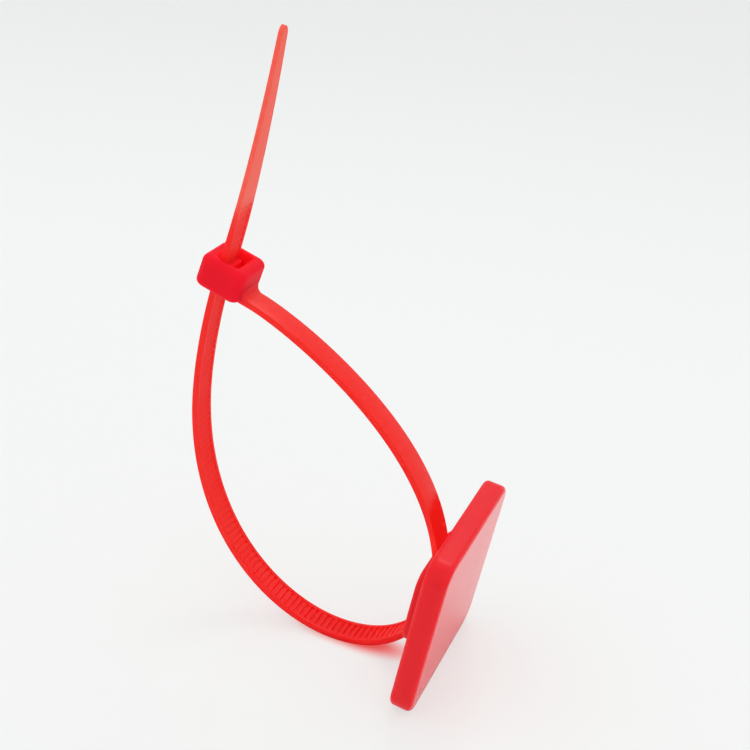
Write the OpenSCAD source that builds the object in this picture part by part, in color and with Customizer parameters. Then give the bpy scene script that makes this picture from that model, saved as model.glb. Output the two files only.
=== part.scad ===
// Cable tie with an identification tag plate, closed into a loop.
// The tie, its ratchet head and the tag plate are one moulding, and a card with an
// antenna and a chip is sealed inside the plate. Millimetres, +Z up. The part stands on
// the plate's lower front edge and on the lowest point of the loop. The origin is on the
// standing surface, under the middle of the part. The loop lies in the XZ plane.

/* [Tag plate] */
// Width of the plate, across the loop's plane
plate_w = 31; // [24:0.5:40]
// Height of the plate, along its slope
plate_h = 30.8; // [26:0.5:40]
// Thickness of the plate
plate_t = 4; // [3:0.1:6]
// Radius of the plate's four corners
plate_corner_r = 3.5; // [1.5:0.1:5]
// Rounding of the plate's edges
plate_edge_r = 0.9; // [0.3:0.05:1.2]
// Angle that the plate leans outwards from upright
plate_lean = 8.5; // [4:0.5:14]

/* [Boss on the back of the plate] */
// Width of the boss that ties the strap to the plate
boss_w = 17; // [10:0.5:20]
// Height of the boss, along the plate
boss_h = 14.5; // [10:0.5:18]
// How far the boss stands out from the plate's back
boss_t = 2.3; // [1.8:0.1:3]
// Radius of the boss's corners
boss_corner_r = 3; // [1:0.1:4]
// Rounding of the boss's outer edges
boss_edge_r = 0.6; // [0.2:0.05:1]
// How deep the boss's foot is moulded into the plate
boss_root = 0.8; // [0.4:0.1:1]

/* [Strap] */
// Width of the toothed run
strap_w = 4.7; // [4:0.1:6]
// Width of the smooth run where it leaves the head
neck_w = 4.45; // [4:0.05:6]
// Width of the smooth run where it meets the boss
foot_w = 5.15; // [4:0.05:7]
// Thickness of the strap
strap_t = 1.1; // [0.9:0.05:1.4]
// Depth of the strap's inner face below the boss's face
strap_cover = 0.35; // [0.1:0.05:0.5]
// Length of strap moulded into the boss at each end
strap_root = 3; // [1.5:0.5:5]

/* [Teeth] */
// Distance from one tooth to the next
tooth_pitch = 1.1; // [0.9:0.05:1.6]
// Height of a tooth
tooth_depth = 0.32; // [0.2:0.02:0.5]
// Depth of the teeth's crests below the side rails
tooth_drop = 0.06; // [0.04:0.01:0.2]
// Width of the plain rail on each side of the teeth
rail_w = 0.6; // [0.4:0.05:1]
// Plain length of strap between the boss and the first tooth
teeth_start = 3; // [2:0.5:10]
// Length of toothed strap past the middle of the head
teeth_past_head = 12; // [8:0.5:16]

/* [Loop] */
// Distance from the plate's standing edge to the loop's lowest point
loop_low_x = 18.9; // [16:0.1:22]
// Distance from the plate's standing edge to the loop's far side
loop_far_x = 47.3; // [44:0.05:51]
// Height of the loop's far side
loop_far_z = 38; // [34:0.5:42]
// Angle between the plate and the strap where it leaves the boss's lower end
low_exit = 23.3; // [12:0.1:35]
// Angle between the plate and the strap where it meets the boss's upper end
high_exit = 16.9; // [10:0.1:22]
// Length over which the strap holds its direction below the boss
low_exit_pull = 4.9; // [2:0.1:7]
// Length over which it holds its direction above the boss
high_exit_pull = 21.9; // [18:0.1:26]
// Length over which it runs level before the lowest point
low_pull_in = 7.7; // [6:0.1:12]
// Length over which it runs level after the lowest point
low_pull_out = 12.9; // [10:0.1:17]
// Length over which it runs upright below the far side
far_pull_in = 24.7; // [19:0.1:28]
// Length over which it runs upright above the far side
far_pull_out = 9.2; // [6:0.1:12]

/* [Head] */
// Length of the head, along the strap that grows from it
head_l = 8.1; // [7.2:0.1:9]
// Width of the head
head_w = 8.4; // [7:0.1:9]
// Height of the head, along its slot
head_h = 5.8; // [5:0.1:7]
// Distance from the plate's standing edge to the strap in the middle of the head
head_x = 42.75; // [40:0.05:46]
// Height of the middle of the head
head_z = 64.8; // [60:0.1:70]
// Angle of the slot from upright
head_tilt = 18.4; // [14:0.1:24]
// Distance from the middle of the head to the strap in its slot
slot_offset = 1; // [0.6:0.1:1.2]
// Radius of the head's upright corners
head_corner_r = 1.4; // [1.2:0.1:2]
// Rounding of the head's upper and lower edges
head_edge_r = 1.1; // [0.6:0.1:1.2]
// Length over which the strap holds the slot's direction in the head
head_pull = 6; // [4:0.5:9]
// Length over which the strap holds its direction beyond the neck
neck_pull = 6.2; // [4:0.1:11]
// Height of the neck above the head's lower face
neck_rise = -0.1; // [-0.2:0.05:0.4]
// Radius of the fillet between the neck and the head
neck_fillet_r = 1.5; // [0.6:0.1:1.6]

/* [Ratchet] */
// Gap between the strap's edges and the sides of the slot
slot_side_gap = 0.2; // [0.1:0.05:0.4]
// Gap between the strap's smooth face and the slot's wall
slot_back_gap = 0.2; // [0.1:0.05:0.4]
// Room for the pawl on the toothed side of the strap
pawl_room = 2.2; // [1.8:0.1:2.6]
// Thickness of the pawl at its hinge
pawl_hinge_t = 0.5; // [0.3:0.05:0.8]
// Thickness of the pawl behind its teeth
pawl_t = 1.0; // [0.7:0.05:1.3]
// Number of teeth on the pawl
pawl_teeth = 3; // [2:1:4]
// Gap between the pawl's teeth and the strap's
mesh_gap = 0.08; // [0.05:0.01:0.15]
// Gap between the pawl's edges and the sides of the slot
pawl_side_gap = 0.3; // [0.2:0.05:0.6]
// Chamfer around the slot's mouths
mouth_chamfer = 0.5; // [0.2:0.05:0.7]

/* [Tail] */
// Distance of the tip beyond the plate's standing edge
tail_x = 33.4; // [30:0.1:36]
// Height of the tip
tail_z = 104.5; // [90:0.1:112]
// Angle of the tip from upright
tail_tilt = 9.8; // [5:0.1:14]
// Length over which the strap holds the slot's direction above the head
tail_pull_in = 10.8; // [9:0.1:15]
// Length over which it holds the tip's direction
tail_pull_out = 13.2; // [9:0.1:17]
// Thickness of the tail beyond the teeth
tail_t = 0.8; // [0.6:0.05:0.9]
// Width of the tail just before its rounded tip
tail_tip_w = 1.8; // [1:0.1:2.5]
// Length of the tapered part of the tail
tail_taper = 28; // [24:0.5:35]
// Length of the rounded tip
tail_tip_l = 1.6; // [0.8:0.1:2.5]

/* [Sealed inlay] */
// Side of the square card
card_w = 23; // [20:0.5:24]
// Thickness of the card
card_t = 0.5; // [0.4:0.05:0.8]
// Radius of the card's corners
card_corner_r = 1.5; // [0.5:0.1:3]
// Depth of the card behind the plate's front face
card_depth = 1.4; // [1:0.1:1.8]
// Number of turns in the antenna
coil_turns = 6; // [4:1:8]
// Width of the antenna's track
track_w = 0.5; // [0.3:0.05:0.6]
// Gap between the antenna's turns
track_gap = 0.4; // [0.3:0.05:0.6]
// Thickness of the antenna's track
track_t = 0.1; // [0.05:0.01:0.15]
// Bare margin between the card's edge and the antenna
coil_margin = 0.8; // [0.4:0.1:1.5]
// Diameter of the two joints that go through the card
via_d = 0.7; // [0.5:0.05:0.9]
// Side of the square chip
chip_w = 1.8; // [1:0.1:2.5]
// Thickness of the chip
chip_t = 0.25; // [0.15:0.05:0.3]

/* [Hidden] */

$fn = 48;
red = [0.90, 0.09, 0.11];
amber = [0.80, 0.62, 0.30];
copper = [0.80, 0.45, 0.22];
dark_grey = [0.12, 0.12, 0.13];

// Small overlap that makes a cut run clear of a face
past = 0.5;
// Number of straight steps in each bend of the strap
bend_steps = 24;
// Share of a tooth's pitch that its steep side takes
tooth_lead = 0.15;

// The rounded front edge would lift the plate, so it is lowered onto the surface
plate_drop = plate_edge_r * (sin(plate_lean) + cos(plate_lean) - 1);
// The plate's upper front edge is the part's near side
near_x = plate_h * sin(plate_lean) - plate_drop;
// The middle of the part, from the plate's standing edge
middle_x = (near_x - loop_far_x - strap_t / 2) / 2;

// Points are [x, z] pairs in the plane of the loop, from the plate's standing edge
function heading(angle) = [cos(angle), sin(angle)];
function unit(v) = v / norm(v);
function left_of(v) = [-v[1], v[0]];
function on_plate(up, back) =
    up * heading(90 - plate_lean) + back * heading(180 - plate_lean) - [0, plate_drop];
function bezier_at(p, t) =
    pow(1 - t, 3) * p[0] + 3 * pow(1 - t, 2) * t * p[1]
    + 3 * (1 - t) * t * t * p[2] + pow(t, 3) * p[3];
function bezier(p) = [for (i = [1 : bend_steps]) bezier_at(p, i / bend_steps)];

// Directions of the head's slot and of the strap that grows from it
slot_dir = heading(90 - head_tilt);
neck_dir = heading(-head_tilt);
slot_mid = [-head_x, head_z];
head_mid = slot_mid + slot_offset * neck_dir;
neck = head_mid + head_l / 2 * neck_dir
    - (head_h / 2 - strap_t / 2 - neck_rise) * slot_dir;
neck_root = neck - strap_t * neck_dir;
neck_out = neck + neck_fillet_r * neck_dir;

// The strap lies just below the boss's face between its two ends
strap_back = plate_t + boss_t - strap_t / 2 - strap_cover;
boss_top = on_plate(plate_h / 2 + boss_h / 2, strap_back);
boss_bottom = on_plate(plate_h / 2 - boss_h / 2, strap_back);
up_plate = heading(90 - plate_lean);

loop_low = [-loop_low_x, strap_t / 2];
loop_far = [-loop_far_x, loop_far_z];
tail_end = [-tail_x, tail_z];

// Smooth run of the strap, from the head to the boss's upper end
smooth_run = concat(
    [neck_root, neck, neck_out],
    bezier([
        neck_out, neck_out + neck_pull * neck_dir,
        boss_top + high_exit_pull * heading(90 - plate_lean + high_exit), boss_top
    ]),
    [boss_top - strap_root * up_plate]
);

// Toothed run, from the boss's lower end round the loop and through the head to the tip
bottom_bend = [
    boss_bottom, boss_bottom + low_exit_pull * heading(-90 - plate_lean - low_exit),
    loop_low + [low_pull_in, 0], loop_low
];
side_bend = [
    loop_low, loop_low - [low_pull_out, 0], loop_far - [0, far_pull_in], loop_far
];
rise_bend = [
    loop_far, loop_far + [0, far_pull_out], slot_mid - head_pull * slot_dir, slot_mid
];
tail_bend = [
    slot_mid, slot_mid + tail_pull_in * slot_dir,
    tail_end - tail_pull_out * heading(90 - tail_tilt), tail_end
];
toothed_run = concat(
    [boss_bottom + strap_root * up_plate, boss_bottom],
    bezier(bottom_bend), bezier(side_bend), bezier(rise_bend), bezier(tail_bend)
);

// Distance along the toothed run to each of its points
run_marks = [
    for (i = 0, s = 0; i < len(toothed_run);
         i = i + 1, s = s + (i < len(toothed_run)
             ? norm(toothed_run[i] - toothed_run[i - 1]) : 0)) s
];
run_x = [for (i = [0 : len(run_marks) - 1]) [run_marks[i], toothed_run[i][0]]];
run_z = [for (i = [0 : len(run_marks) - 1]) [run_marks[i], toothed_run[i][1]]];
run_end = run_marks[len(run_marks) - 1];
head_mark = run_marks[1 + 3 * bend_steps];
// A tooth stands at the middle of the head, so that the pawl meets whole teeth
teeth_in_loop = floor((head_mark - run_marks[1] - teeth_start) / tooth_pitch);
teeth_from = head_mark - teeth_in_loop * tooth_pitch;
teeth_count = teeth_in_loop + round(teeth_past_head / tooth_pitch);
teeth_to = teeth_from + teeth_count * tooth_pitch;

// A place on the toothed run, and one beside it: positive is outside the loop
function run_at(s) = [lookup(s, run_x), lookup(s, run_z)];
function run_dir(s) = unit(run_at(s + strap_t / 2) - run_at(s - strap_t / 2));
function beside(s, off) = run_at(s) + off * left_of(run_dir(s));

// The strap keeps its thickness up to the head, and thins to the tail's beyond it
function thick_at(s) = lookup(s, [
    [head_mark + head_h / 2, strap_t], [teeth_to, tail_t]
]);

// Outline of a strip along a list of points, with the thickness at each of them
function strip_side(pts, half) = [
    for (i = [0 : len(pts) - 1])
        let (
            before = pts[max(i - 1, 0)],
            after = pts[min(i + 1, len(pts) - 1)]
        )
        pts[i] + half[i] * left_of(unit(after - before))
];
function reversed(list) = [for (i = [len(list) - 1 : -1 : 0]) list[i]];
function strip(pts, half) =
    concat(strip_side(pts, half), reversed(strip_side(pts, -half)));

// The line of tooth tips and roots on the strap's inner face, between two teeth
function crest_off(s) = -(thick_at(s) / 2 - tooth_drop);
function root_off(s) = crest_off(s) + tooth_depth;
function tooth_line(first, last) = [
    for (i = [first : last], step = [0, 1])
        let (s = teeth_from + (i + step * tooth_lead) * tooth_pitch)
        beside(s, step == 0 ? root_off(s) : crest_off(s))
];

// Shapes drawn in the plane of the loop become solids centred on it
module across(width) {
    rotate([90, 0, 0]) linear_extrude(width, center = true) children();
}

// Space with x along a slope in the plane of the loop, and y across the strap
module on_slope(from, slope) {
    translate([from[0], 0, from[1]]) rotate([0, -atan2(slope[1], slope[0]), 0]) children();
}

// Moves the standing edge of the plate to its place beside the origin
module in_place() {
    translate([-middle_x, 0, 0]) children();
}

// Plate space: x up the plate, y across it, z from the front face to the back
module on_tag() {
    translate([0, 0, -plate_drop]) rotate([0, plate_lean, 0]) rotate([0, -90, 0]) children();
}

// Head space in the plane of the loop: x along the neck, y up the slot
module on_head() {
    translate(head_mid) rotate(-head_tilt) children();
}

// Rectangle with rounded corners, standing on the x axis
module rounded_section(w, t, r) {
    translate([-w / 2 + r, 0]) square([w - 2 * r, t]);
    translate([-w / 2, r]) square([w, t - 2 * r]);
    for (x = [-w / 2 + r, w / 2 - r], y = [r, t - r]) translate([x, y]) circle(r);
}

// Slab with rounded corners and edges, centred on x and y and standing on z = 0
module rounded_slab(l, w, t, corner_r, edge_r) {
    for (x = [-l / 2 + corner_r, l / 2 - corner_r], y = [-w / 2 + corner_r, w / 2 - corner_r])
        translate([x, y, 0]) rotate_extrude() intersection() {
            rounded_section(2 * corner_r, t, edge_r);
            square([corner_r, t]);
        }
    rotate([90, 0, 0]) linear_extrude(w - 2 * corner_r, center = true)
        rounded_section(l, t, edge_r);
    rotate([90, 0, 90]) linear_extrude(l - 2 * corner_r, center = true)
        rounded_section(w, t, edge_r);
}

// Rounded square plate with the boss that carries the strap on its back
module tag_plate() {
    on_tag() translate([plate_h / 2, 0, 0]) {
        rounded_slab(plate_h, plate_w, plate_t, plate_corner_r, plate_edge_r);
        translate([0, 0, plate_t - boss_root])
            rounded_slab(boss_h, boss_w, boss_t + boss_root, boss_corner_r, boss_edge_r);
    }
}

// Smooth run, which widens steadily from the neck to the boss
module smooth_strap() {
    slope = boss_top - neck;
    function half_w(x) = (neck_w + (foot_w - neck_w) * x / norm(slope)) / 2;
    from = -strap_root;
    to = norm(slope) + strap_root;
    intersection() {
        across(boss_w) polygon(strip(smooth_run, [for (p = smooth_run) strap_t / 2]));
        on_slope(neck, slope) linear_extrude(norm(slope), center = true) polygon([
            [from, -half_w(from)], [to, -half_w(to)], [to, half_w(to)], [from, half_w(from)]
        ]);
    }
}

// Cuts the channel between the side rails and leaves the teeth standing in it
module tooth_channel() {
    clear = [
        for (s = [teeth_to : -2 * tooth_pitch : teeth_from])
            beside(s, -(strap_t / 2 + past))
    ];
    across(strap_w - 2 * rail_w)
        polygon(concat(
            [beside(teeth_from, crest_off(teeth_from))],
            tooth_line(1, teeth_count - 1),
            [beside(teeth_to, root_off(teeth_to))], clear,
            [beside(teeth_from, -(strap_t / 2 + past))]
        ));
}

// Trims both edges of the tail from the strap's width to the narrow rounded tip. The
// trimming prism is as tall as the head, which is more than the tail bends
module tail_trim() {
    taper_from = run_at(run_end - tail_tip_l - tail_taper);
    slope = tail_end - taper_from;
    taper_end = norm(slope) - tail_tip_l;
    tip = [
        for (a = [0 : 15 : 90])
            [taper_end + tail_tip_l * sin(a), tail_tip_w / 2 * cos(a)]
    ];
    on_slope(taper_from, slope)
        for (side = [0, 1]) mirror([0, side, 0])
            linear_extrude(head_h, center = true) polygon(concat(
                [[0, strap_w / 2]], tip,
                [[norm(slope) + past, 0], [norm(slope) + past, strap_w], [0, strap_w]]
            ));
}

module toothed_strap() {
    half = [for (s = run_marks) thick_at(s) / 2];
    difference() {
        across(strap_w) polygon(strip(toothed_run, half));
        tooth_channel();
        tail_trim();
    }
}

// Slot through the head, from its outer wall to behind the pawl, with chamfered mouths
slot_from = -slot_offset - strap_t / 2 - slot_back_gap;
slot_to = -slot_offset + strap_t / 2 + pawl_room;
slot_w = strap_w + 2 * slot_side_gap;

module slot_mouth() {
    spread = mouth_chamfer + past;
    polygon([
        [slot_from, -mouth_chamfer], [slot_to, -mouth_chamfer],
        [slot_to + spread, past], [slot_from - spread, past]
    ]);
}

module slot() {
    across(slot_w) on_head() {
        translate([slot_from, -head_h]) square([slot_to - slot_from, 2 * head_h]);
        for (end = [0, 1]) mirror([0, end]) translate([0, head_h / 2]) slot_mouth();
    }
}

// Springy finger that grows from the foot of the slot's neck side and meets the teeth
module pawl() {
    foot = -head_h / 2 + mouth_chamfer;
    bend = -pawl_teeth / 2 * tooth_pitch;
    tip = pawl_teeth / 2 * tooth_pitch;
    face = -slot_offset + strap_t / 2 - tooth_drop - tooth_depth;
    back = face + tooth_depth + pawl_t;
    across(slot_w - 2 * pawl_side_gap) difference() {
        on_head() polygon([
            [slot_to + past, foot], [slot_to, foot], [face, bend], [face, tip],
            [back - tooth_depth / 2, tip], [back, bend + pawl_t],
            [slot_to, foot + pawl_hinge_t], [slot_to + past, foot + pawl_hinge_t]
        ]);
        translate(mesh_gap * unit(neck_dir - slot_dir)) polygon(concat(
            tooth_line(teeth_in_loop - pawl_teeth, teeth_in_loop + pawl_teeth),
            [beside(head_mark + pawl_teeth * tooth_pitch, strap_t),
             beside(head_mark - pawl_teeth * tooth_pitch, strap_t)]
        ));
    }
}

// Concave fillet where the strap's outer face meets the head
module neck_fillet() {
    strap_top = -head_h / 2 + neck_rise + strap_t;
    across(neck_w) on_head() translate([head_l / 2, strap_top]) difference() {
        translate([-past, -past / 2])
            square([neck_fillet_r + past, neck_fillet_r + past / 2]);
        translate([neck_fillet_r, neck_fillet_r]) circle(neck_fillet_r);
    }
}

module ratchet_head() {
    difference() {
        translate([head_mid[0], 0, head_mid[1]]) rotate([0, head_tilt, 0])
            translate([0, 0, -head_h / 2])
                rounded_slab(head_l, head_w, head_h, head_corner_r, head_edge_r);
        slot();
    }
    pawl();
    neck_fillet();
}

// Inlay space: the card's front face is at z = 0 and its middle on the z axis
module on_inlay() {
    on_tag() translate([plate_h / 2, 0, card_depth]) children();
}

module card_outline() {
    square([card_w - 2 * card_corner_r, card_w], center = true);
    square([card_w, card_w - 2 * card_corner_r], center = true);
    for (x = [-1, 1], y = [-1, 1])
        translate((card_w / 2 - card_corner_r) * [x, y]) circle(card_corner_r);
}

track_pitch = track_w + track_gap;
coil_half = card_w / 2 - coil_margin - track_w / 2;
inner_half = coil_half - coil_turns * track_pitch;
// The leads stop at the chip's sides, and the near joint stands clear of it
lead_end = chip_w / 2 + track_w / 2;
via_x = lead_end + via_d;

// A straight length of track between two points, with square ends
module track(from, to) {
    low = [min(from[0], to[0]), min(from[1], to[1])] - track_w / 2 * [1, 1];
    high = [max(from[0], to[0]), max(from[1], to[1])] + track_w / 2 * [1, 1];
    translate(low) square(high - low);
}

// Square spiral that starts in the middle of its right side. Each turn steps inwards by
// one pitch at its last corner
module coil() {
    for (turn = [0 : coil_turns - 1]) {
        r = coil_half - turn * track_pitch;
        track([r, 0], [r, -r]);
        track([r, -r], [-r, -r]);
        track([-r, -r], [-r, r]);
        track([-r, r], [r - track_pitch, r]);
        track([r - track_pitch, r], [r - track_pitch, 0]);
    }
}

// The coil's inner end runs to one side of the chip, and the other side to a joint
module chip_leads() {
    track([inner_half, 0], [lead_end, 0]);
    track([-lead_end, 0], [-via_x, 0]);
}

// A bridge on the card's back face joins that joint to the coil's outer end
module antenna_metal() {
    linear_extrude(track_t) {
        coil();
        chip_leads();
    }
    translate([0, 0, card_t - track_t]) linear_extrude(track_t)
        track([-via_x, 0], [coil_half, 0]);
    for (x = [-via_x, coil_half]) translate([x, 0, 0]) cylinder(h = card_t, d = via_d);
}

module chip_block() {
    translate([-chip_w / 2, -chip_w / 2, 0]) cube([chip_w, chip_w, chip_t]);
}

// One moulding: plate, boss, strap, ratchet head and tail, around the sealed inlay
module tie_body() {
    color(red) in_place() difference() {
        union() {
            tag_plate();
            smooth_strap();
            toothed_strap();
            ratchet_head();
        }
        on_inlay() linear_extrude(card_t) card_outline();
    }
}

// Plastic card that carries the antenna and the chip flush in its faces
module inlay_card() {
    color(amber) in_place() on_inlay() difference() {
        linear_extrude(card_t) card_outline();
        antenna_metal();
        chip_block();
    }
}

module antenna() {
    color(copper) in_place() on_inlay() antenna_metal();
}

module chip() {
    color(dark_grey) in_place() on_inlay() chip_block();
}

tie_body();
inlay_card();
antenna();
chip();
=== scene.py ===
"""Cable tie with an identification tag plate, closed into a loop.

One red nylon moulding: a square plate with a boss on its back, a smooth run of strap up to
the ratchet head, and a toothed run from the boss round the loop, through the head and on to
the tail. Lengths are in millimetres here, in the plane of the loop unless said otherwise,
and become metres when a mesh is made.
"""

import bisect
import math

import bpy
from mathutils import Matrix, Vector

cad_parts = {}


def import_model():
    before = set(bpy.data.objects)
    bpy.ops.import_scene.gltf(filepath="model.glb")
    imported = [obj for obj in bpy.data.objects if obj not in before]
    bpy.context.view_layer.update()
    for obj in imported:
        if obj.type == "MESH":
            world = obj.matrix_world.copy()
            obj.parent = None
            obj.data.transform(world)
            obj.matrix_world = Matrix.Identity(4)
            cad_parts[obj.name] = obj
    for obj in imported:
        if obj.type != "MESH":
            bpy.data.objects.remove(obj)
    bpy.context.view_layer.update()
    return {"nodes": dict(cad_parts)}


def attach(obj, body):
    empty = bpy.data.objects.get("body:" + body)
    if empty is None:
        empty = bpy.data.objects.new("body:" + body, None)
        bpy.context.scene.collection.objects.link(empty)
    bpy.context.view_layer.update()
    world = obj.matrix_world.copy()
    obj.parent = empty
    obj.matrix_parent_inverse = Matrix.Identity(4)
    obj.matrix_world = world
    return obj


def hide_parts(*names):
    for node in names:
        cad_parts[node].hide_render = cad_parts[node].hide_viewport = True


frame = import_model()

MM = 0.001

# ------------------------------------------------------------- sizes, as in the CAD source
PLATE_W, PLATE_H, PLATE_T = 31.0, 30.8, 4.0
PLATE_CORNER_R, PLATE_EDGE_R, PLATE_LEAN = 3.5, 0.9, 8.5
BOSS_W, BOSS_H, BOSS_T = 17.0, 14.5, 2.3
BOSS_CORNER_R, BOSS_EDGE_R = 3.0, 0.6

STRAP_W, NECK_W, FOOT_W, STRAP_T = 4.7, 4.45, 5.15, 1.1
STRAP_COVER, STRAP_ROOT = 0.35, 1.0
TOOTH_PITCH, TOOTH_DEPTH, TOOTH_DROP, RAIL_W = 1.1, 0.32, 0.06, 0.6
TEETH_START, TEETH_PAST_HEAD = 3.0, 12.0

LOOP_LOW_X, LOOP_FAR_X, LOOP_FAR_Z = 18.9, 47.3, 38.0
LOW_EXIT, HIGH_EXIT, LOW_EXIT_PULL, HIGH_EXIT_PULL = 23.3, 16.9, 4.9, 21.9
LOW_PULL_IN, LOW_PULL_OUT, FAR_PULL_IN, FAR_PULL_OUT = 7.7, 12.9, 24.7, 9.2

HEAD_L, HEAD_W, HEAD_H = 8.1, 8.4, 5.8
HEAD_X, HEAD_Z, HEAD_TILT, SLOT_OFFSET = 42.75, 64.8, 18.4, 1.0
HEAD_CORNER_R, HEAD_EDGE_R, HEAD_PULL = 1.4, 1.1, 6.0
NECK_PULL, NECK_RISE, NECK_FILLET_R = 6.2, -0.1, 1.5
SLOT_SIDE_GAP, SLOT_BACK_GAP, PAWL_ROOM, MOUTH_CHAMFER = 0.2, 0.2, 2.2, 0.5
PAWL_HINGE_T, PAWL_T, PAWL_TEETH, MESH_GAP, PAWL_SIDE_GAP = 0.5, 1.0, 3, 0.08, 0.3

TAIL_X, TAIL_Z, TAIL_TILT, TAIL_PULL_IN, TAIL_PULL_OUT = 33.4, 104.5, 9.8, 10.8, 13.2
TAIL_T, TAIL_TIP_W, TAIL_TAPER, TAIL_TIP_L = 0.8, 1.8, 28.0, 1.6

# --------------------------------------------------------------- sizes of the visible skin
# Points on each bend of the strap's path
FINE = 200
# Steps round a quarter of a circle
ROUND_STEPS, PLATE_CORNER_STEPS, BOSS_CORNER_STEPS, HEAD_CORNER_STEPS = 8, 12, 10, 8
FILLET_STEPS, SMOOTH_EDGE_STEPS, TOOTHED_EDGE_STEPS, TIP_STEPS = 6, 4, 3, 12
# Where the last ring on a flat face lies, as a share of its edge's radius
PLATE_RIM, BOSS_RIM = 1.25, 1.4
BOSS_FILLET_R, BOSS_SUNK = 0.35, 0.3
# Rounding of the strap's long edges, and of the mouths of the head's slot
EDGE_R, MOUTH_ROUND = 0.1, 0.85
# Distance between rings along the strap, and along the fillet at its neck
RING_STEP, FILLET_RING_STEP = 0.5, 0.15
# How far the neck's fillet spreads sideways, and the share of its radius where it is steep
FILLET_SPREAD, FILLET_STEEP = 0.5, 0.3
# How far the first and last teeth take to leave the plain strap, and the ring past them
TEETH_RUN_IN, TEETH_RUN_OUT = 0.05, 0.3
# One tooth: share of the pitch, and of the depth. The steep side comes first, then the
# rounded crest and the long ramp down to the next root
TOOTH_PROFILE = (
    (0.00, 1.0),
    (0.06, 0.65),
    (0.12, 0.12),
    (0.17, 0.0),
    (0.24, 0.05),
    (0.50, 0.38),
    (0.78, 0.72),
    (0.95, 0.97),
)
# One of the pawl's teeth: share of the depth, shift off the strap, shift up the slot
PAWL_PROFILE = ((1.0, 0.02, 0.02), (0.0, 0.02, 0.12), (0.9, 0.0, TOOTH_PITCH - 0.03))
# Least flat and least radius that are left on a rounded rectangle
LEAST_FLAT, LEAST_ROUND = 0.01, 0.02
# Most that an edge's radius takes of the toothed strap's half width or half thickness
MOST_EDGE = 0.6
# Beside the teeth: the rail's rounded edge, then the foot of the trough's wall
RAIL_EDGE, RAIL_LIP, ROOT_EDGE, ROOT_FLAT = 0.05, 0.06, 0.04, 0.12
# Least share of its half width that the tail's tip keeps, squared
TIP_LEAST = 0.02
# How far the pawl's foot goes into the head, and the bevel on its edges
PAWL_ROOT, PAWL_BEVEL = 0.3, 0.05
# How the corners of the head and of its slot follow their edges, and their least radius
HEAD_CORNER_SHARE, MOUTH_WIDE_SHARE, MOUTH_CORNER_SHARE, LEAST_CORNER_R = 0.6, 1.2, 0.8, 0.3


# -------------------------------------------------------------- places in the loop's plane
def heading(angle):
    return Vector((math.cos(math.radians(angle)), math.sin(math.radians(angle))))


def left_of(v):
    return Vector((-v.y, v.x))


lean = math.radians(PLATE_LEAN)
PLATE_DROP = PLATE_EDGE_R * (math.sin(lean) + math.cos(lean) - 1)
NEAR_X = PLATE_H * math.sin(lean) - PLATE_DROP
MIDDLE_X = (NEAR_X - LOOP_FAR_X - STRAP_T / 2) / 2
UP_PLATE = heading(90 - PLATE_LEAN)
OFF_PLATE = heading(180 - PLATE_LEAN)
FLOOR_LIFT = Vector((0, -PLATE_DROP))


def on_plate(up, back):
    return UP_PLATE * up + OFF_PLATE * back + FLOOR_LIFT


slot_dir = heading(90 - HEAD_TILT)
neck_dir = heading(-HEAD_TILT)
slot_mid = Vector((-HEAD_X, HEAD_Z))
head_mid = slot_mid + neck_dir * SLOT_OFFSET
neck_down = HEAD_H / 2 - STRAP_T / 2 - NECK_RISE
neck = head_mid + neck_dir * (HEAD_L / 2) - slot_dir * neck_down
neck_root = neck - neck_dir * STRAP_T
neck_out = neck + neck_dir * NECK_FILLET_R
strap_back = PLATE_T + BOSS_T - STRAP_T / 2 - STRAP_COVER
boss_top = on_plate(PLATE_H / 2 + BOSS_H / 2, strap_back)
boss_bottom = on_plate(PLATE_H / 2 - BOSS_H / 2, strap_back)
loop_low = Vector((-LOOP_LOW_X, STRAP_T / 2))
loop_far = Vector((-LOOP_FAR_X, LOOP_FAR_Z))
tail_end = Vector((-TAIL_X, TAIL_Z))


def bezier(a, b, c, d, steps):
    """Points along a curve from a to d, without a itself."""
    made = []
    for i in range(1, steps + 1):
        t = i / steps
        u = 1 - t
        made.append(a * u**3 + b * (3 * u * u * t) + c * (3 * u * t * t) + d * t**3)
    return made


class Run:
    """A smooth line in the plane of the loop that is read by the distance along it."""

    # Distance on each side of a place that its direction is taken over
    REACH = 0.3

    def __init__(self, points):
        self.points = points
        self.marks = [0.0]
        for a, b in zip(points, points[1:]):
            self.marks.append(self.marks[-1] + (b - a).length)
        self.length = self.marks[-1]

    def at(self, s):
        s = min(max(s, 0.0), self.length)
        i = min(bisect.bisect_right(self.marks, s) - 1, len(self.marks) - 2)
        span = self.marks[i + 1] - self.marks[i]
        return self.points[i].lerp(self.points[i + 1], (s - self.marks[i]) / span)

    def dir(self, s):
        return (self.at(s + self.REACH) - self.at(s - self.REACH)).normalized()


smooth_bend = bezier(
    neck_out,
    neck_out + neck_dir * NECK_PULL,
    boss_top + heading(90 - PLATE_LEAN + HIGH_EXIT) * HIGH_EXIT_PULL,
    boss_top,
    2 * FINE,
)
smooth_run = Run(
    [neck_root, neck, neck_out] + smooth_bend + [boss_top - UP_PLATE * STRAP_ROOT]
)

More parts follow.
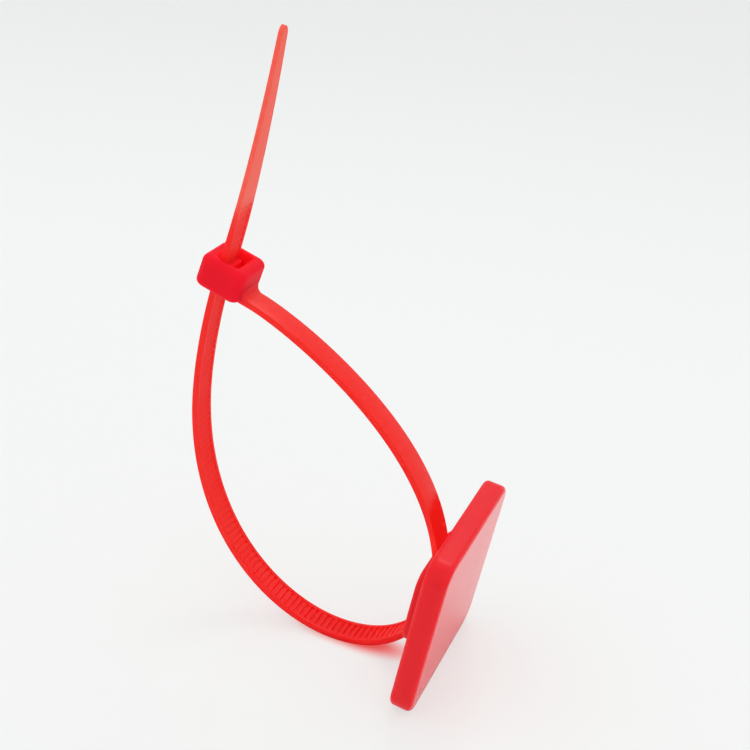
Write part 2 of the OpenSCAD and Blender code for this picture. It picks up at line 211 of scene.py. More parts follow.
# Places that the toothed run passes through, with their pulls on the bends before and after
low_exit_dir = heading(-90 - PLATE_LEAN - LOW_EXIT)
tail_dir = heading(90 - TAIL_TILT)
still = Vector((0, 0))
knots = (
    (boss_bottom, still, low_exit_dir * LOW_EXIT_PULL),
    (loop_low, Vector((LOW_PULL_IN, 0)), Vector((-LOW_PULL_OUT, 0))),
    (loop_far, Vector((0, -FAR_PULL_IN)), Vector((0, FAR_PULL_OUT))),
    (slot_mid, slot_dir * -HEAD_PULL, slot_dir * TAIL_PULL_IN),
    (tail_end, tail_dir * -TAIL_PULL_OUT, still),
)
HEAD_KNOT = 3
toothed_points = [boss_bottom + UP_PLATE * STRAP_ROOT, boss_bottom]
for (start, _, leave), (end, arrive, _) in zip(knots, knots[1:]):
    toothed_points += bezier(start, start + leave, end + arrive, end, FINE)
toothed_run = Run(toothed_points)
head_mark = toothed_run.marks[1 + HEAD_KNOT * FINE]
teeth_in_loop = int((head_mark - toothed_run.marks[1] - TEETH_START) / TOOTH_PITCH)
teeth_from = head_mark - teeth_in_loop * TOOTH_PITCH
teeth_count = teeth_in_loop + round(TEETH_PAST_HEAD / TOOTH_PITCH)
teeth_to = teeth_from + teeth_count * TOOTH_PITCH


# ---------------------------------------------------------------------------- mesh helpers
def world(p, y):
    """A place in the loop's plane, y across it, in metres."""
    return Vector(((p.x - MIDDLE_X) * MM, y * MM, p.y * MM))


def make_piece(name, verts, faces, material, sharp=None):
    """A piece of the moulding, with hard edges above the sharp angle in degrees."""
    mesh = bpy.data.meshes.new(name)
    mesh.from_pydata(verts, [], faces)
    mesh.update()
    mesh.materials.append(material)
    piece = bpy.data.objects.new(name, mesh)
    bpy.context.scene.collection.objects.link(piece)
    mesh.shade_smooth()
    if sharp is not None:
        mesh.set_sharp_from_angle(angle=math.radians(sharp))
    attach(piece, "root")
    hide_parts("tie_body")
    return piece


def loft(rings, closed=False):
    """Quads between rings of points, with a flat face over each end unless closed."""
    n = len(rings[0])
    verts = [p for ring in rings for p in ring]
    faces = []
    for i in range(len(rings) if closed else len(rings) - 1):
        j = (i + 1) % len(rings)
        for k in range(n):
            m = (k + 1) % n
            faces.append((i * n + k, i * n + m, j * n + m, j * n + k))
    if not closed:
        faces.append(tuple(reversed(range(n))))
        faces.append(tuple(range((len(rings) - 1) * n, len(rings) * n)))
    return verts, faces


def quarter_arc(cx, cy, radius, quarter, steps):
    """Points anticlockwise round one quarter of a circle, the first quarter being 0."""
    made = []
    for i in range(steps + 1):
        a = math.radians(90 * (quarter + i / steps))
        made.append((cx + radius * math.cos(a), cy + radius * math.sin(a)))
    return made


def corner_ring(length, width, radius, steps, centre=0.0):
    """Rounded rectangle as (x, y) pairs, anticlockwise."""
    most = min(length, width) / 2 - LEAST_FLAT
    radius = max(min(radius, most), LEAST_ROUND)
    ring = []
    for quarter, (sx, sy) in enumerate(((1, 1), (-1, 1), (-1, -1), (1, -1))):
        cx = centre + sx * (length / 2 - radius)
        cy = sy * (width / 2 - radius)
        ring += quarter_arc(cx, cy, radius, quarter, steps)
    return ring


def edge_steps(radius):
    """(inset, rise) pairs round a quarter of an edge, from the wall to the flat face."""
    for i in range(ROUND_STEPS + 1):
        a = math.radians(90 * i / ROUND_STEPS)
        yield radius * (1 - math.cos(a)), radius * math.sin(a)


def fillet_steps(radius, steps):
    """(spread, rise) pairs round a hollow edge, from the flat face to the wall."""
    for i in range(steps + 1):
        a = math.radians(90 * i / steps)
        yield radius * (1 - math.sin(a)), radius * (1 - math.cos(a))


# ------------------------------------------------------------------------ material helpers
# Sockets of a colour mix by number, because its other kinds of mix use the same names
MIX_FROM, MIX_TO, MIX_RESULT = 6, 7, 2


def node(tree, kind, at, sockets=None, **settings):
    """A new node with these settings, and with these values on its own inputs."""
    made = tree.nodes.new(kind)
    made.location = at
    for key, value in settings.items():
        setattr(made, key, value)
    for socket, value in (sockets or {}).items():
        made.inputs[socket].default_value = value
    return made


def wire(tree, *links):
    """Links, each as node, output, node, input."""
    for source, output, target, socket in links:
        tree.links.new(source.outputs[output], target.inputs[socket])


def ramp(tree, at, stops):
    """A colour ramp from (position, colour) pairs, the lowest first."""
    made = node(tree, "ShaderNodeValToRGB", at)
    elements = made.color_ramp.elements
    for element, (position, colour) in zip(elements, (stops[0], stops[-1])):
        element.position, element.color = position, (*colour, 1)
    for position, colour in stops[1:-1]:
        elements.new(position).color = (*colour, 1)
    return made


def noise(tree, at, place, scale, detail):
    made = node(tree, "ShaderNodeTexNoise", at, {"Scale": scale, "Detail": detail})
    wire(tree, (place, "Object", made, "Vector"))
    return made


def new_material(name):
    material = bpy.data.materials.new(name)
    material.use_nodes = True
    return material, material.node_tree


# ----------------------------------------------------------------------------------- nylon
NYLON_IOR = 1.53
# How far red, green and blue light travel in it, as shares of the reach
TRAVEL = (1.0, 0.25, 0.2)
# Painted glow: emission colours in place of the light that comes through the slot's walls,
# and through the plate onto the strap's foot
SLOT_PAINTED_GLOW, FOOT_PAINTED_GLOW = (1.0, 0.008, 0.014, 1), (1.0, 0.03, 0.03, 1)
NO_LIGHT = (0, 0, 0, 1)
# Scale and detail of the cloudy colour, the fine skin and the wide waves
CLOUDS, FINE_SKIN, WIDE_WAVES = (120, 4), (2600, 3), (260, 2)
CLOUD_TONES = {"From Min": 0.3, "From Max": 0.7, "To Min": 0.965, "To Max": 1.01}
# Most that the roughness departs from its middle value
ROUGH_SPREAD = 0.04
# Strength of the bumps for a grain of 1, and the heights of the fine and the wide ones
BUMP, FINE_HEIGHT, WIDE_HEIGHT = 0.3, 0.01, 0.03
# Roughness of the plate's back and front faces, as shares of that of its sides
BACK_DULL, FRONT_POLISH = 1.5, 0.36
# Shares of the way from the plate's back to its front, where its skin changes, and where
# the front's brighter red, a painted light, starts
BACK_ENDS, FRONT_STARTS, FRONT_DONE, PAINTED_LIGHT_FRONT_STARTS = 0.3, 0.8, 0.95, 0.92


def grey(value):
    return (value, value, value)


def by_height(tree, split, heights):
    """The strap's colour, with its painted light and shade, from pairs of a height and the
    colour there.
    """
    low, high = heights[0][0], heights[-1][0]
    limits = {"From Min": low * MM, "From Max": high * MM}
    level = node(tree, "ShaderNodeMapRange", (-800, 500), limits)
    stops = [((height - low) / (high - low), colour) for height, colour in heights]
    shade = ramp(tree, (-600, 500), stops)
    wire(tree, (split, "Z", level, "Value"), (level, "Result", shade, "Fac"))
    return shade


def painted_foot_glow(tree, split, heights):
    """A painted glow on the strap's foot in place of the plate's light, which comes up from
    the first height to the second.
    """
    limits = {"From Min": heights[0] * MM, "From Max": heights[1] * MM}
    near = node(
        tree, "ShaderNodeMapRange", (-800, 700), limits, interpolation_type="SMOOTHSTEP"
    )
    ends = {MIX_FROM: NO_LIGHT, MIX_TO: FOOT_PAINTED_GLOW}
    light = node(tree, "ShaderNodeMix", (-600, 700), ends, data_type="RGBA")
    wire(tree, (split, "Z", near, "Value"), (near, "Result", light, "Factor"))
    return light


def plate_skin(tree, place, base, painted_light_front):
    """The plate's colour, with the front face a brighter red that is painted light, and the
    share of its roughness, from its back to its front.
    """
    forward = -Vector((OFF_PLATE.x, 0, OFF_PLATE.y))
    face_at = world(on_plate(0, 0), 0).dot(forward)
    depth = node(
        tree, "ShaderNodeVectorMath", (-900, -750), {1: forward}, operation="DOT_PRODUCT"
    )
    limits = {"From Min": face_at - PLATE_T * MM, "From Max": face_at}
    across = node(tree, "ShaderNodeMapRange", (-700, -750), limits)
    dullness = (
        (0.0, grey(BACK_DULL)),
        (BACK_ENDS, grey(1)),
        (FRONT_STARTS, grey(1)),
        (FRONT_DONE, grey(FRONT_POLISH)),
    )
    polish = ramp(tree, (-500, -750), dullness)
    # The front face gets a brighter red: painted light, as if more light fell on it
    painted_light_share = node(
        tree, "ShaderNodeMapRange", (-500, -1000), {"From Min": PAINTED_LIGHT_FRONT_STARTS}
    )
    colours = {MIX_FROM: (*base, 1), MIX_TO: (*painted_light_front, 1)}
    colour = node(tree, "ShaderNodeMix", (-300, 300), colours, data_type="RGBA")
    wire(
        tree,
        (place, "Object", depth, 0),
        (depth, "Value", across, "Value"),
        (across, "Result", polish, "Fac"),
        (across, "Result", painted_light_share, "Value"),
        (painted_light_share, "Result", colour, "Factor"),
    )
    return colour, polish


def nylon(
    name,
    roughness,
    gloss,
    reach,
    grain,
    base=(0, 0, 0),
    painted_light_front=None,
    heights=None,
    painted_glow_heights=None,
    painted_glow_strength=0.0,
):
    """Moulded nylon: clouded colour, a fine skin, and light that travels inside it.

    Red light goes as far as the reach, in millimetres, and the rest hardly goes in at all.
    Heights are pairs of a height and the strap's colour there, in place of a base colour;
    these colours carry painted light and shade along the strap. Where a front colour is
    given, the plate's front face has it, a brighter red that is painted light, and is
    polished there, while the plate's back and its boss are dull. The painted glow strength
    is that of a red emission, a painted glow in place of the light that comes through the
    walls round the slot, or through the plate onto the strap's foot, where it comes up
    between the two heights given for it.
    """
    material, tree = new_material(name)
    tree.nodes.clear()
    out = node(tree, "ShaderNodeOutputMaterial", (900, 0))
    looks = {
        "IOR": NYLON_IOR,
        "Specular IOR Level": gloss,
        "Subsurface Weight": 1.0,
        "Subsurface Radius": TRAVEL,
        "Subsurface Scale": reach * MM,
        "Emission Color": SLOT_PAINTED_GLOW,
        "Emission Strength": painted_glow_strength,
    }
    shader = node(tree, "ShaderNodeBsdfPrincipled", (600, 0), looks)
    place = node(tree, "ShaderNodeTexCoord", (-1200, 0))
    cloud = noise(tree, (-900, 200), place, *CLOUDS)
    fine = noise(tree, (-900, -200), place, *FINE_SKIN)
    wide = noise(tree, (-900, -450), place, *WIDE_WAVES)
    tone = node(tree, "ShaderNodeMapRange", (-600, 200), CLOUD_TONES)
    clouded = node(tree, "ShaderNodeVectorMath", (0, 250), {0: base}, operation="SCALE")
    spread = {"To Min": roughness - ROUGH_SPREAD, "To Max": roughness + ROUGH_SPREAD}
    rough = node(tree, "ShaderNodeMapRange", (-300, -50), spread)
    bumps = []
    for at, height in (((0, -400), WIDE_HEIGHT), ((250, -250), FINE_HEIGHT)):
        size = {"Strength": BUMP * grain, "Distance": height * MM}
        bumps.append(node(tree, "ShaderNodeBump", at, size))
    bump_wide, bump_fine = bumps
    wire(
        tree,
        (cloud, "Fac", tone, "Value"),
        (tone, "Result", clouded, "Scale"),
        (clouded, "Vector", shader, "Base Color"),
        (wide, "Fac", rough, "Value"),
        (wide, "Fac", bump_wide, "Height"),
        (fine, "Fac", bump_fine, "Height"),
        (bump_wide, "Normal", bump_fine, "Normal"),
        (bump_fine, "Normal", shader, "Normal"),
        (shader, "BSDF", out, "Surface"),
    )
    if heights:
        split = node(tree, "ShaderNodeSeparateXYZ", (-1000, 500))
        shade = by_height(tree, split, heights)
        wire(tree, (place, "Object", split, "Vector"), (shade, "Color", clouded, 0))
        if painted_glow_heights:
            light = painted_foot_glow(tree, split, painted_glow_heights)
            wire(tree, (light, MIX_RESULT, shader, "Emission Color"))
    if painted_light_front:
        colour, polish = plate_skin(tree, place, base, painted_light_front)
        kept = node(tree, "ShaderNodeMath", (0, -50), operation="MULTIPLY")
        wire(
            tree,
            (colour, MIX_RESULT, clouded, 0),
            (rough, "Result", kept, 0),
            (polish, "Color", kept, 1),
            (kept, "Value", shader, "Roughness"),
        )
    else:
        wire(tree, (rough, "Result", shader, "Roughness"))
    return material


plate_nylon = nylon(
    "plate_nylon",
    base=(0.81, 0.0075, 0.016),
    roughness=0.34,
    gloss=0.22,
    reach=2.0,
    grain=0.12,
    # the front face is a brighter red: painted light
    painted_light_front=(0.94, 0.008, 0.026),
)
head_nylon = nylon(
    "head_nylon",
    base=(0.83, 0.009, 0.026),
    roughness=0.55,
    gloss=0.07,
    reach=2.5,
    grain=0.7,
)
neck_nylon = nylon(
    "neck_nylon",
    base=(0.92, 0.012, 0.018),
    roughness=0.45,
    gloss=0.15,
    reach=0.6,
    grain=0.5,
)
# The slot's walls and the pawl: a brighter red than the head and a painted glow, painted
# light that fills the slot
slot_nylon_painted_light = nylon(
    "slot_nylon_painted_light",
    base=(0.985, 0.012, 0.024),
    roughness=0.6,
    gloss=0.08,
    reach=1.0,
    grain=0.5,
    painted_glow_strength=0.09,
)
smooth_nylon = nylon(
    "smooth_nylon",
    roughness=0.26,
    gloss=0.22,
    reach=3.0,
    grain=0.1,
    # its foot, behind the plate, is painted a brighter red and given a painted glow, as if
    # lit through the plate, and it is a little paler higher up
    heights=(
        (23.5, (1.0, 0.021, 0.016)),
        (30.0, (0.88, 0.012, 0.007)),
        (58.0, (0.875, 0.0175, 0.0115)),
    ),
    painted_glow_heights=(32.0, 22.5),
    painted_glow_strength=0.18,
)
toothed_nylon = nylon(
    "toothed_nylon",
    roughness=0.5,
    gloss=0.24,
    reach=1.4,
    grain=0.4,
    # deeper red at its lowest part, a painted shade near the floor, and paling into the
    # thin tail, partly as thinner nylon and partly as a painted sheen
    heights=(
        (2.0, (0.955, 0.008, 0.008)),
        (14.0, (0.96, 0.0195, 0.013)),
        (71.5, (0.965, 0.018, 0.0155)),
        (74.4, (0.93, 0.038, 0.028)),
        (77.6, (0.935, 0.135, 0.093)),
    ),
)


# ------------------------------------------------------------------ tag plate and its boss
def tag_rings(profile, length, width, corner, steps):
    """Rings round the plate or its boss, from (inset, distance from the front) pairs."""
    rings = []
    for inset, z in profile:
        ring = corner_ring(length - 2 * inset, width - 2 * inset, corner - inset, steps)
        rings.append([world(on_plate(PLATE_H / 2 + x, z), y) for x, y in ring])
    return rings


def plate_profile():
    """From the plate's flat front face round both edges to its flat back."""
    profile = [(PLATE_EDGE_R * PLATE_RIM, 0.0)]
    for inset, rise in edge_steps(PLATE_EDGE_R):
        profile.append((PLATE_EDGE_R - rise, inset))
    for inset, rise in edge_steps(PLATE_EDGE_R):
        profile.append((inset, PLATE_T - PLATE_EDGE_R + rise))
    profile.append((PLATE_EDGE_R * PLATE_RIM, PLATE_T))
    return profile


def boss_profile():
    """From inside the plate up a small fillet and the wall to the boss's flat top."""
    profile = [(-BOSS_FILLET_R, PLATE_T - BOSS_SUNK)]
    for spread, rise in fillet_steps(BOSS_FILLET_R, FILLET_STEPS):
        profile.append((-spread, PLATE_T + rise))
    top = PLATE_T + BOSS_T
    for inset, rise in edge_steps(BOSS_EDGE_R):
        profile.append((inset, top - BOSS_EDGE_R + rise))
    profile.append((BOSS_EDGE_R * BOSS_RIM, top))
    return profile


for name, profile, length, width, corner, steps in (
    ("tag_plate", plate_profile(), PLATE_H, PLATE_W, PLATE_CORNER_R, PLATE_CORNER_STEPS),
    ("tag_boss", boss_profile(), BOSS_H, BOSS_W, BOSS_CORNER_R, BOSS_CORNER_STEPS),
):
    verts, faces = loft(tag_rings(profile, length, width, corner, steps))
    make_piece(name, verts, faces, plate_nylon)


# ---------------------------------------------------------------------------- smooth strap
def smooth_strap():
    """Rings of the strap, and how many of them lie in the steep part of its fillet."""
    slope = boss_top - neck
    length = slope.length
    along = slope / length
    rings = []
    s = 0.0
    while s < smooth_run.length:
        p, n = smooth_run.at(s), left_of(smooth_run.dir(s))
        share = (p - neck).dot(along) / length
        half_w = (NECK_W + (FOOT_W - NECK_W) * share) / 2
        # The outer side sweeps up into the head in a fillet
        past_neck = (p - neck).dot(neck_dir)
        lift = 0.0
        if past_neck < NECK_FILLET_R:
            rest = NECK_FILLET_R - max(past_neck, 0.0)
            lift = NECK_FILLET_R - math.sqrt(max(NECK_FILLET_R**2 - rest**2, 0.0))
        ring = []
        for across, off in corner_ring(2 * half_w, STRAP_T, EDGE_R, SMOOTH_EDGE_STEPS):
            if off > 0:
                across *= 1 + FILLET_SPREAD * lift / half_w
                off += lift
            ring.append(world(p + n * off, across))
        rings.append(ring)
        if lift > FILLET_STEEP * NECK_FILLET_R:
            in_fillet = len(rings)
        s += FILLET_RING_STEP if past_neck < NECK_FILLET_R else RING_STEP
    return rings, in_fillet


rings, in_fillet = smooth_strap()
verts, faces = loft(rings)
strap_smooth = make_piece("strap_smooth", verts, faces, smooth_nylon, sharp=50)
# The steep part of the fillet is nearer to the head's matte skin
strap_smooth.data.materials.append(neck_nylon)
for polygon in strap_smooth.data.polygons[: in_fillet * len(rings[0])]:
    polygon.material_index = 1


# --------------------------------------------------------------------------- toothed strap
def thick_at(s):
    """The strap's thickness, which falls to the tail's from the head to the last tooth."""
    thin_from = head_mark + HEAD_H / 2
    t = min(max((s - thin_from) / (teeth_to - thin_from), 0.0), 1.0)
    return STRAP_T + (TAIL_T - STRAP_T) * t


def half_width_at(s):
    """The strap's half width, which tapers along the tail to its rounded tip."""
    left = toothed_run.length - s
    taper = (left - TAIL_TIP_L) / TAIL_TAPER
    if taper >= 1:
        return STRAP_W / 2
    if taper >= 0:
        return (TAIL_TIP_W + (STRAP_W - TAIL_TIP_W) * taper) / 2
    across = 1 - max(left, 0.0) / TAIL_TIP_L
    return TAIL_TIP_W / 2 * math.sqrt(max(1 - across * across, TIP_LEAST))


def tooth_stops():
    """Distances along the run that carry a ring, with the depth of the teeth there."""
    stops = []
    s = 0.0
    while s < teeth_from - TEETH_RUN_IN - LEAST_FLAT:
        stops.append((s, 0.0))
        s += RING_STEP
    stops.append((teeth_from - TEETH_RUN_IN, 0.0))
    for i in range(teeth_count):
        for along, down in TOOTH_PROFILE:
            s = teeth_from + (i + along) * TOOTH_PITCH
            stops.append((s, TOOTH_DROP + TOOTH_DEPTH * down))
    stops.append((teeth_to, TOOTH_DROP + TOOTH_DEPTH))
    stops.append((teeth_to + TEETH_RUN_IN, 0.0))
    s = teeth_to + TEETH_RUN_OUT
    while s < toothed_run.length - TAIL_TIP_L:
        stops.append((s, 0.0))
        s += RING_STEP
    for i in range(TIP_STEPS + 1):
        left = TAIL_TIP_L * (1 - math.sin(math.radians(90 * i / TIP_STEPS)))
        stops.append((toothed_run.length - left, 0.0))
    return stops


def toothed_section(w, t, depth):
    """(across, off) pairs round the strap, from its half width and half thickness, with a
    trough of this depth between the rails on its inner face."""
    r = min(EDGE_R, w * MOST_EDGE, t * MOST_EDGE)
    rail = min(w - r - LEAST_ROUND, STRAP_W / 2 - RAIL_W)
    wall = (
        (rail + RAIL_EDGE, 0.0),
        (rail, min(RAIL_LIP, depth)),
        (rail - ROOT_EDGE, depth),
        (rail - ROOT_FLAT, depth),
    )
    ring = []
    for quarter, (sw, st) in enumerate(((1, 1), (-1, 1), (-1, -1), (1, -1))):
        if quarter == 3:
            ring += [(-across, down - t) for across, down in wall]
            ring.append((0.0, depth - t))
            ring += [(across, down - t) for across, down in reversed(wall)]
        cx, cy = sw * (w - r), st * (t - r)
        ring += quarter_arc(cx, cy, r, quarter, TOOTHED_EDGE_STEPS)
    return ring


rings = []
for s, depth in tooth_stops():
    p, n = toothed_run.at(s), left_of(toothed_run.dir(s))
    section = toothed_section(half_width_at(s), thick_at(s) / 2, depth)
    rings.append([world(p + n * off, across) for across, off in section])
verts, faces = loft(rings)
strap_toothed = make_piece("strap_toothed", verts, faces, toothed_nylon)
# The flat rails beside the teeth end in a crisp edge
per_ring = len(rings[0])
per_edge = TOOTHED_EDGE_STEPS + 1
for edge in strap_toothed.data.edges:
    spots = {v % per_ring for v in edge.vertices}
    if spots in ({3 * per_edge}, {per_ring - per_edge - 1}):
        edge.use_edge_sharp = True


# ---------------------------------------------------------------------------- ratchet head
def on_head(x, y, z):
    """Head space: x along the neck, y across, z up the slot, from the head's middle."""
    return world(head_mid + neck_dir * x + slot_dir * z, y)


SLOT_FROM = -SLOT_OFFSET - STRAP_T / 2 - SLOT_BACK_GAP
SLOT_TO = -SLOT_OFFSET + STRAP_T / 2 + PAWL_ROOM
SLOT_W = STRAP_W + 2 * SLOT_SIDE_GAP


def head_rings():
    """Rings up the head's outside and down its slot, and how many are outside."""
    half = HEAD_H / 2
    rim = [(inset, half - HEAD_EDGE_R + rise) for inset, rise in edge_steps(HEAD_EDGE_R)]
    upward = [(inset, -z) for inset, z in reversed(rim)] + rim
    rim = [(spread, half - rise) for spread, rise in fillet_steps(MOUTH_ROUND, ROUND_STEPS)]
    downward = rim + [(spread, -z) for spread, z in reversed(rim)]
    sections = []
    for inset, z in upward:
        radius = max(HEAD_CORNER_R - HEAD_CORNER_SHARE * inset, LEAST_CORNER_R)
        sections.append((z, (HEAD_L - 2 * inset, HEAD_W - 2 * inset, radius), 0.0))
    outside = len(sections)
    centre = (SLOT_TO + SLOT_FROM) / 2
    for spread, z in downward:
        length = SLOT_TO - SLOT_FROM + 2 * spread
        width = SLOT_W + MOUTH_WIDE_SHARE * spread
        radius = LEAST_CORNER_R + MOUTH_CORNER_SHARE * spread
        sections.append((z, (length, width, radius), centre))
    rings = []
    for z, shape, middle in sections:
        ring = corner_ring(*shape, HEAD_CORNER_STEPS, middle)
        rings.append([on_head(x, y, z) for x, y in ring])
    return rings, outside


rings, outer_rings = head_rings()
verts, faces = loft(rings, closed=True)
ratchet_head = make_piece("ratchet_head", verts, faces, head_nylon, sharp=60)
# Inside the slot the walls are a brighter red with a painted glow: painted light in place
# of the light the walls give one another
ratchet_head.data.materials.append(slot_nylon_painted_light)
for polygon in ratchet_head.data.polygons[outer_rings * len(rings[0]) : -len(rings[0])]:
    polygon.material_index = 1


def pawl_outline():
    """Outline of the pawl in the head's space, as (x, z) pairs."""
    foot = -HEAD_H / 2 + MOUTH_CHAMFER
    bend = -PAWL_TEETH / 2 * TOOTH_PITCH
    face = -SLOT_OFFSET + STRAP_T / 2 - TOOTH_DROP - TOOTH_DEPTH + MESH_GAP
    back = face + TOOTH_DEPTH + PAWL_T
    outline = [(SLOT_TO + PAWL_ROOT, foot), (SLOT_TO, foot)]
    for i in range(PAWL_TEETH):
        for share, off, up in PAWL_PROFILE:
            outline.append((face + TOOTH_DEPTH * share + off, bend + i * TOOTH_PITCH + up))
    outline += [
        (back - TOOTH_DEPTH / 2, -bend),
        (back, bend + PAWL_T),
        (SLOT_TO, foot + PAWL_HINGE_T),
        (SLOT_TO + PAWL_ROOT, foot + PAWL_HINGE_T),
    ]
    return outline


half_pawl = SLOT_W / 2 - PAWL_SIDE_GAP
rings = [[on_head(x, y, z) for x, z in pawl_outline()] for y in (half_pawl, -half_pawl)]
verts, faces = loft(rings)
pawl = make_piece("pawl", verts, faces, slot_nylon_painted_light, sharp=35)
bevel = pawl.modifiers.new("soft edges", "BEVEL")
bevel.width = PAWL_BEVEL * MM
bevel.segments = 2


# ---------------------------------------------------------------------------- sealed inlay
SPECKS = (1500, 2)
SPECK_DARK, SPECK_SMOOTH, SPECK_ROUGH = 0.85, 0.05, 0.08


def film(name, colour, roughness, metallic):
    """Thin layer in the inlay, with fine specks in its colour and its roughness."""
    material, tree = new_material(name)
    shader = tree.nodes["Principled BSDF"]
    shader.inputs["Metallic"].default_value = metallic
    place = node(tree, "ShaderNodeTexCoord", (-800, 0))
    speck = noise(tree, (-600, 0), place, *SPECKS)
    dark = [c * SPECK_DARK for c in colour]
    tone = ramp(tree, (-300, 100), ((0.0, dark), (1.0, colour)))
    spread = {"To Min": roughness - SPECK_SMOOTH, "To Max": roughness + SPECK_ROUGH}
    rough = node(tree, "ShaderNodeMapRange", (-300, -150), spread)
    wire(
        tree,
        (speck, "Fac", tone, "Fac"),
        (tone, "Color", shader, "Base Color"),
        (speck, "Fac", rough, "Value"),
        (rough, "Result", shader, "Roughness"),
    )
    return material


for cad_node, slot_name, colour, roughness, metallic in (
    ("inlay_card", "inlay_film", (0.62, 0.38, 0.12), 0.5, 0.0),
    ("antenna", "antenna_copper", (0.72, 0.36, 0.18), 0.3, 1.0),
    ("chip", "chip_package", (0.03, 0.03, 0.035), 0.45, 0.0),
):
    part = frame["nodes"][cad_node]
    part.data.materials.clear()
    part.data.materials.append(film(slot_name, colour, roughness, metallic))


# ---------------------------------------------------------------------- floor and backdrop
# Metres: the sheet runs from its near edge to the foot of its curve, then up to its top
SHEET_NEAR, SHEET_FOOT, SHEET_CURVE_R, SHEET_RISE, SHEET_HALF_W = -0.9, 0.42, 0.5, 0.9, 1.6
FLOOR_STEPS, CURVE_STEPS = 8, 24
# The sheet's tone near the object and far behind it, where it is painted darker as painted
# shade, and where it changes, in metres
NEAR_TONE, FAR_TONE_PAINTED_SHADE = (0.905, 0.921, 0.913), (0.825, 0.835, 0.828)
TONE_FROM, TONE_TO = 0.12, 0.62
SHEET_ROUGHNESS = 0.2
# Share of plain tone in what the camera sees, and in what is mirrored or seen through
SEEN_PLAIN, MIRRORED_PLAIN = 0.64, 0.15
# Painted red light under the strap: its colour, middle, half length and half width, and
# solid share
PAINTED_RED_LIGHT, PAINTED_RED_LIGHT_AT, PAINTED_RED_LIGHT_SIZE, PAINTED_RED_LIGHT_SOLID = (1.0, 0.10, 0.09, 1), (6, -0.3), (14, 4.2), 0.3


def pale_sheet():
    """Near-white sheet. The camera sees most of it as plain background tone, which keeps
    the soft shadow faint. What is mirrored or seen through something has some of that tone
    too, but keeps more of the shadow, which darkens the foot of the plate's front."""
    material, tree = new_material("pale_sheet")
    tree.nodes.clear()
    out = node(tree, "ShaderNodeOutputMaterial", (900, 0))
    both = node(tree, "ShaderNodeMixShader", (600, 0))
    matt = {"Roughness": SHEET_ROUGHNESS}
    shader = node(tree, "ShaderNodeBsdfPrincipled", (200, 150), matt)
    plain = node(tree, "ShaderNodeEmission", (200, -250))
    place = node(tree, "ShaderNodeTexCoord", (-900, 0))

    split = node(tree, "ShaderNodeSeparateXYZ", (-700, 0))
    limits = {"From Min": TONE_FROM, "From Max": TONE_TO}
    back = node(tree, "ShaderNodeMapRange", (-550, 0), limits)
    # the sheet darkens further back: painted shade
    tone = ramp(tree, (-400, 0), ((0.0, NEAR_TONE), (1.0, FAR_TONE_PAINTED_SHADE)))
    wire(
        tree,
        (place, "Object", split, "Vector"),
        (split, "Y", back, "Value"),
        (back, "Result", tone, "Fac"),
        (tone, "Color", shader, "Base Color"),
    )

    # Red light painted on the sheet under the strap's lowest part, in place of the red
    # light that comes through the strap
    middle = {1: (PAINTED_RED_LIGHT_AT[0] * MM, PAINTED_RED_LIGHT_AT[1] * MM, 0)}
    shrink = {1: (1 / (PAINTED_RED_LIGHT_SIZE[0] * MM), 1 / (PAINTED_RED_LIGHT_SIZE[1] * MM), 0)}
    moved = node(tree, "ShaderNodeVectorMath", (-900, -400), middle, operation="SUBTRACT")
    shrunk = node(tree, "ShaderNodeVectorMath", (-700, -400), shrink, operation="MULTIPLY")
    reach = node(tree, "ShaderNodeVectorMath", (-500, -400), operation="LENGTH")
    away = node(
        tree,
        "ShaderNodeMapRange",
        (-300, -400),
        {"From Min": PAINTED_RED_LIGHT_SOLID},
        interpolation_type="SMOOTHSTEP",
    )
    painted_red_light_mix = node(tree, "ShaderNodeMix", (0, -250), {MIX_FROM: PAINTED_RED_LIGHT}, data_type="RGBA")
    wire(
        tree,
        (place, "Object", moved, 0),
        (moved, "Vector", shrunk, 0),
        (shrunk, "Vector", reach, 0),
        (reach, "Value", away, "Value"),
        (away, "Result", painted_red_light_mix, "Factor"),
        (tone, "Color", painted_red_light_mix, MIX_TO),
        (painted_red_light_mix, MIX_RESULT, plain, "Color"),
    )

    rays = node(tree, "ShaderNodeLightPath", (-400, 500))
    other = node(tree, "ShaderNodeMath", (-200, 400), operation="MAXIMUM")
    direct_share = node(
        tree, "ShaderNodeMath", (0, 550), {1: SEEN_PLAIN}, operation="MULTIPLY"
    )
    other_share = node(
        tree, "ShaderNodeMath", (0, 400), {1: MIRRORED_PLAIN}, operation="MULTIPLY"
    )
    shown = node(tree, "ShaderNodeMath", (200, 500), operation="MAXIMUM")
    wire(
        tree,
        (rays, "Is Camera Ray", direct_share, 0),
        (rays, "Is Glossy Ray", other, 0),
        (rays, "Is Transmission Ray", other, 1),
        (other, "Value", other_share, 0),
        (direct_share, "Value", shown, 0),
        (other_share, "Value", shown, 1),
        (shown, "Value", both, "Fac"),
        (shader, "BSDF", both, 1),
        (plain, "Emission", both, 2),
        (both, "Shader", out, "Surface"),
    )
    return material


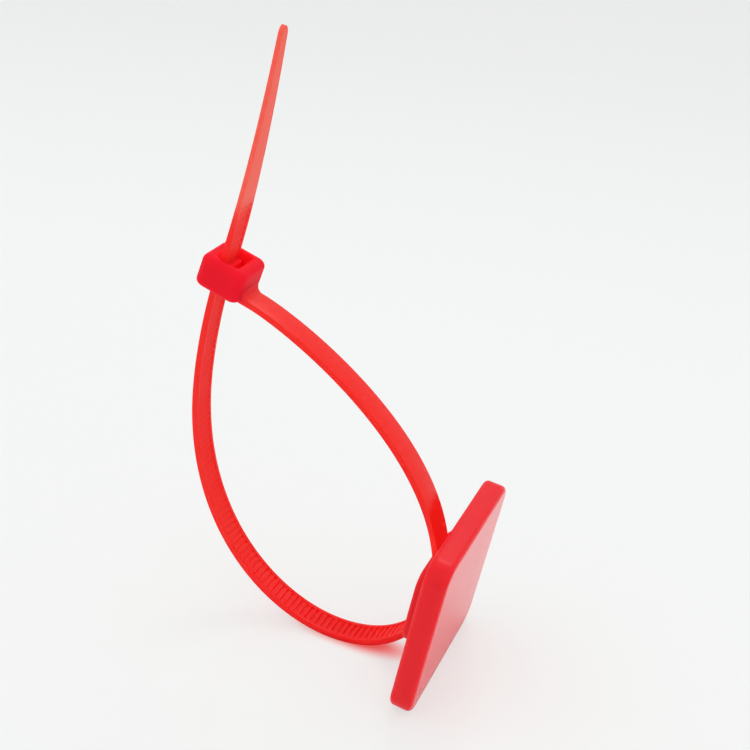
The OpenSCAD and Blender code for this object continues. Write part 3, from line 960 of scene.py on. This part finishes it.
def studio_sheet():
    """Pale sheet: the floor, then a wide curve up behind the object."""
    floor = SHEET_FOOT - SHEET_NEAR
    profile = [(SHEET_NEAR + floor * i / FLOOR_STEPS, 0.0) for i in range(FLOOR_STEPS + 1)]
    for i in range(1, CURVE_STEPS + 1):
        a = math.radians(90 * i / CURVE_STEPS)
        y = SHEET_FOOT + SHEET_CURVE_R * math.sin(a)
        profile.append((y, SHEET_CURVE_R * (1 - math.cos(a))))
    profile.append((SHEET_FOOT + SHEET_CURVE_R, SHEET_CURVE_R + SHEET_RISE))
    verts, faces = [], []
    for y, z in profile:
        verts += [(-SHEET_HALF_W, y, z), (SHEET_HALF_W, y, z)]
    for i in range(len(profile) - 1):
        faces.append((2 * i, 2 * i + 1, 2 * i + 3, 2 * i + 2))
    mesh = bpy.data.meshes.new("studio_sheet")
    mesh.from_pydata(verts, [], faces)
    mesh.shade_smooth()
    sheet = bpy.data.objects.new("studio_sheet", mesh)
    bpy.context.scene.collection.objects.link(sheet)
    mesh.materials.append(pale_sheet())


studio_sheet()

# ----------------------------------------------------------------------------------- light
WORLD_STRENGTH, WORLD_SEEN = 0.985, (0.918, 0.930, 0.922, 1)
# Metres and watts: above and behind, where the plate's near top corner mirrors the lamp
KEY_AT, KEY_TARGET = (0.004, 0.34, 0.54), (0.02, -0.01, 0.03)
KEY_SIZE, KEY_POWER = 0.2, 0.45


def studio_world():
    """White light from all round. What is seen past the sheet has the sheet's own tone, so
    that its edge hardly shows from any side."""
    world_light = bpy.data.worlds.new("studio")
    bpy.context.scene.world = world_light
    world_light.use_nodes = True
    tree = world_light.node_tree
    tree.nodes.clear()
    out = node(tree, "ShaderNodeOutputWorld", (600, 0))
    white = {"Color": (1, 1, 1, 1), "Strength": WORLD_STRENGTH}
    light = node(tree, "ShaderNodeBackground", (100, 100), white)
    sheet_tone = {"Color": WORLD_SEEN, "Strength": 1.0}
    seen = node(tree, "ShaderNodeBackground", (100, -100), sheet_tone)
    rays = node(tree, "ShaderNodeLightPath", (-500, 300))
    direct = node(tree, "ShaderNodeMath", (-300, 300), operation="MAXIMUM")
    shown = node(tree, "ShaderNodeMath", (-100, 300), operation="MAXIMUM")
    both = node(tree, "ShaderNodeMixShader", (350, 0))
    wire(
        tree,
        (rays, "Is Camera Ray", direct, 0),
        (rays, "Is Glossy Ray", direct, 1),
        (direct, "Value", shown, 0),
        (rays, "Is Transmission Ray", shown, 1),
        (shown, "Value", both, "Fac"),
        (light, "Background", both, 1),
        (seen, "Background", both, 2),
        (both, "Shader", out, "Surface"),
    )


def key_lamp():
    lamp = bpy.data.lights.new("key", "AREA")
    lamp.shape = "RECTANGLE"
    lamp.size = lamp.size_y = KEY_SIZE
    lamp.energy = KEY_POWER
    holder = bpy.data.objects.new("key", lamp)
    bpy.context.scene.collection.objects.link(holder)
    holder.location = KEY_AT
    aim = Vector(KEY_TARGET) - Vector(KEY_AT)
    holder.rotation_euler = aim.to_track_quat("-Z", "Y").to_euler()


studio_world()
key_lamp()

# ---------------------------------------------------------------------------------- camera
# Its place, and its right-hand and looking directions, at the photograph's angle
CAMERA_AT = (67.111, -158.342, 138.797)
CAMERA_RIGHT, CAMERA_LOOK = (0.91935, 0.38862, 0.06133), (-0.32126, 0.83152, -0.45318)
LENS, SENSOR = 57.714, 36
# Metres
CLIP_FROM, CLIP_TO = 0.01, 10


def add_camera():
    data = bpy.data.cameras.new("camera")
    data.lens = LENS
    data.sensor_width = SENSOR
    data.clip_start, data.clip_end = CLIP_FROM, CLIP_TO
    camera = bpy.data.objects.new("camera", data)
    bpy.context.scene.collection.objects.link(camera)
    right = Vector(CAMERA_RIGHT).normalized()
    look = Vector(CAMERA_LOOK).normalized()
    up = right.cross(look).normalized()
    turn = Matrix((right, up, -look)).transposed().to_4x4()
    camera.matrix_world = Matrix.Translation(Vector(CAMERA_AT) * MM) @ turn
    bpy.context.scene.camera = camera


add_camera()
bpy.context.scene.view_settings.view_transform = "Standard"
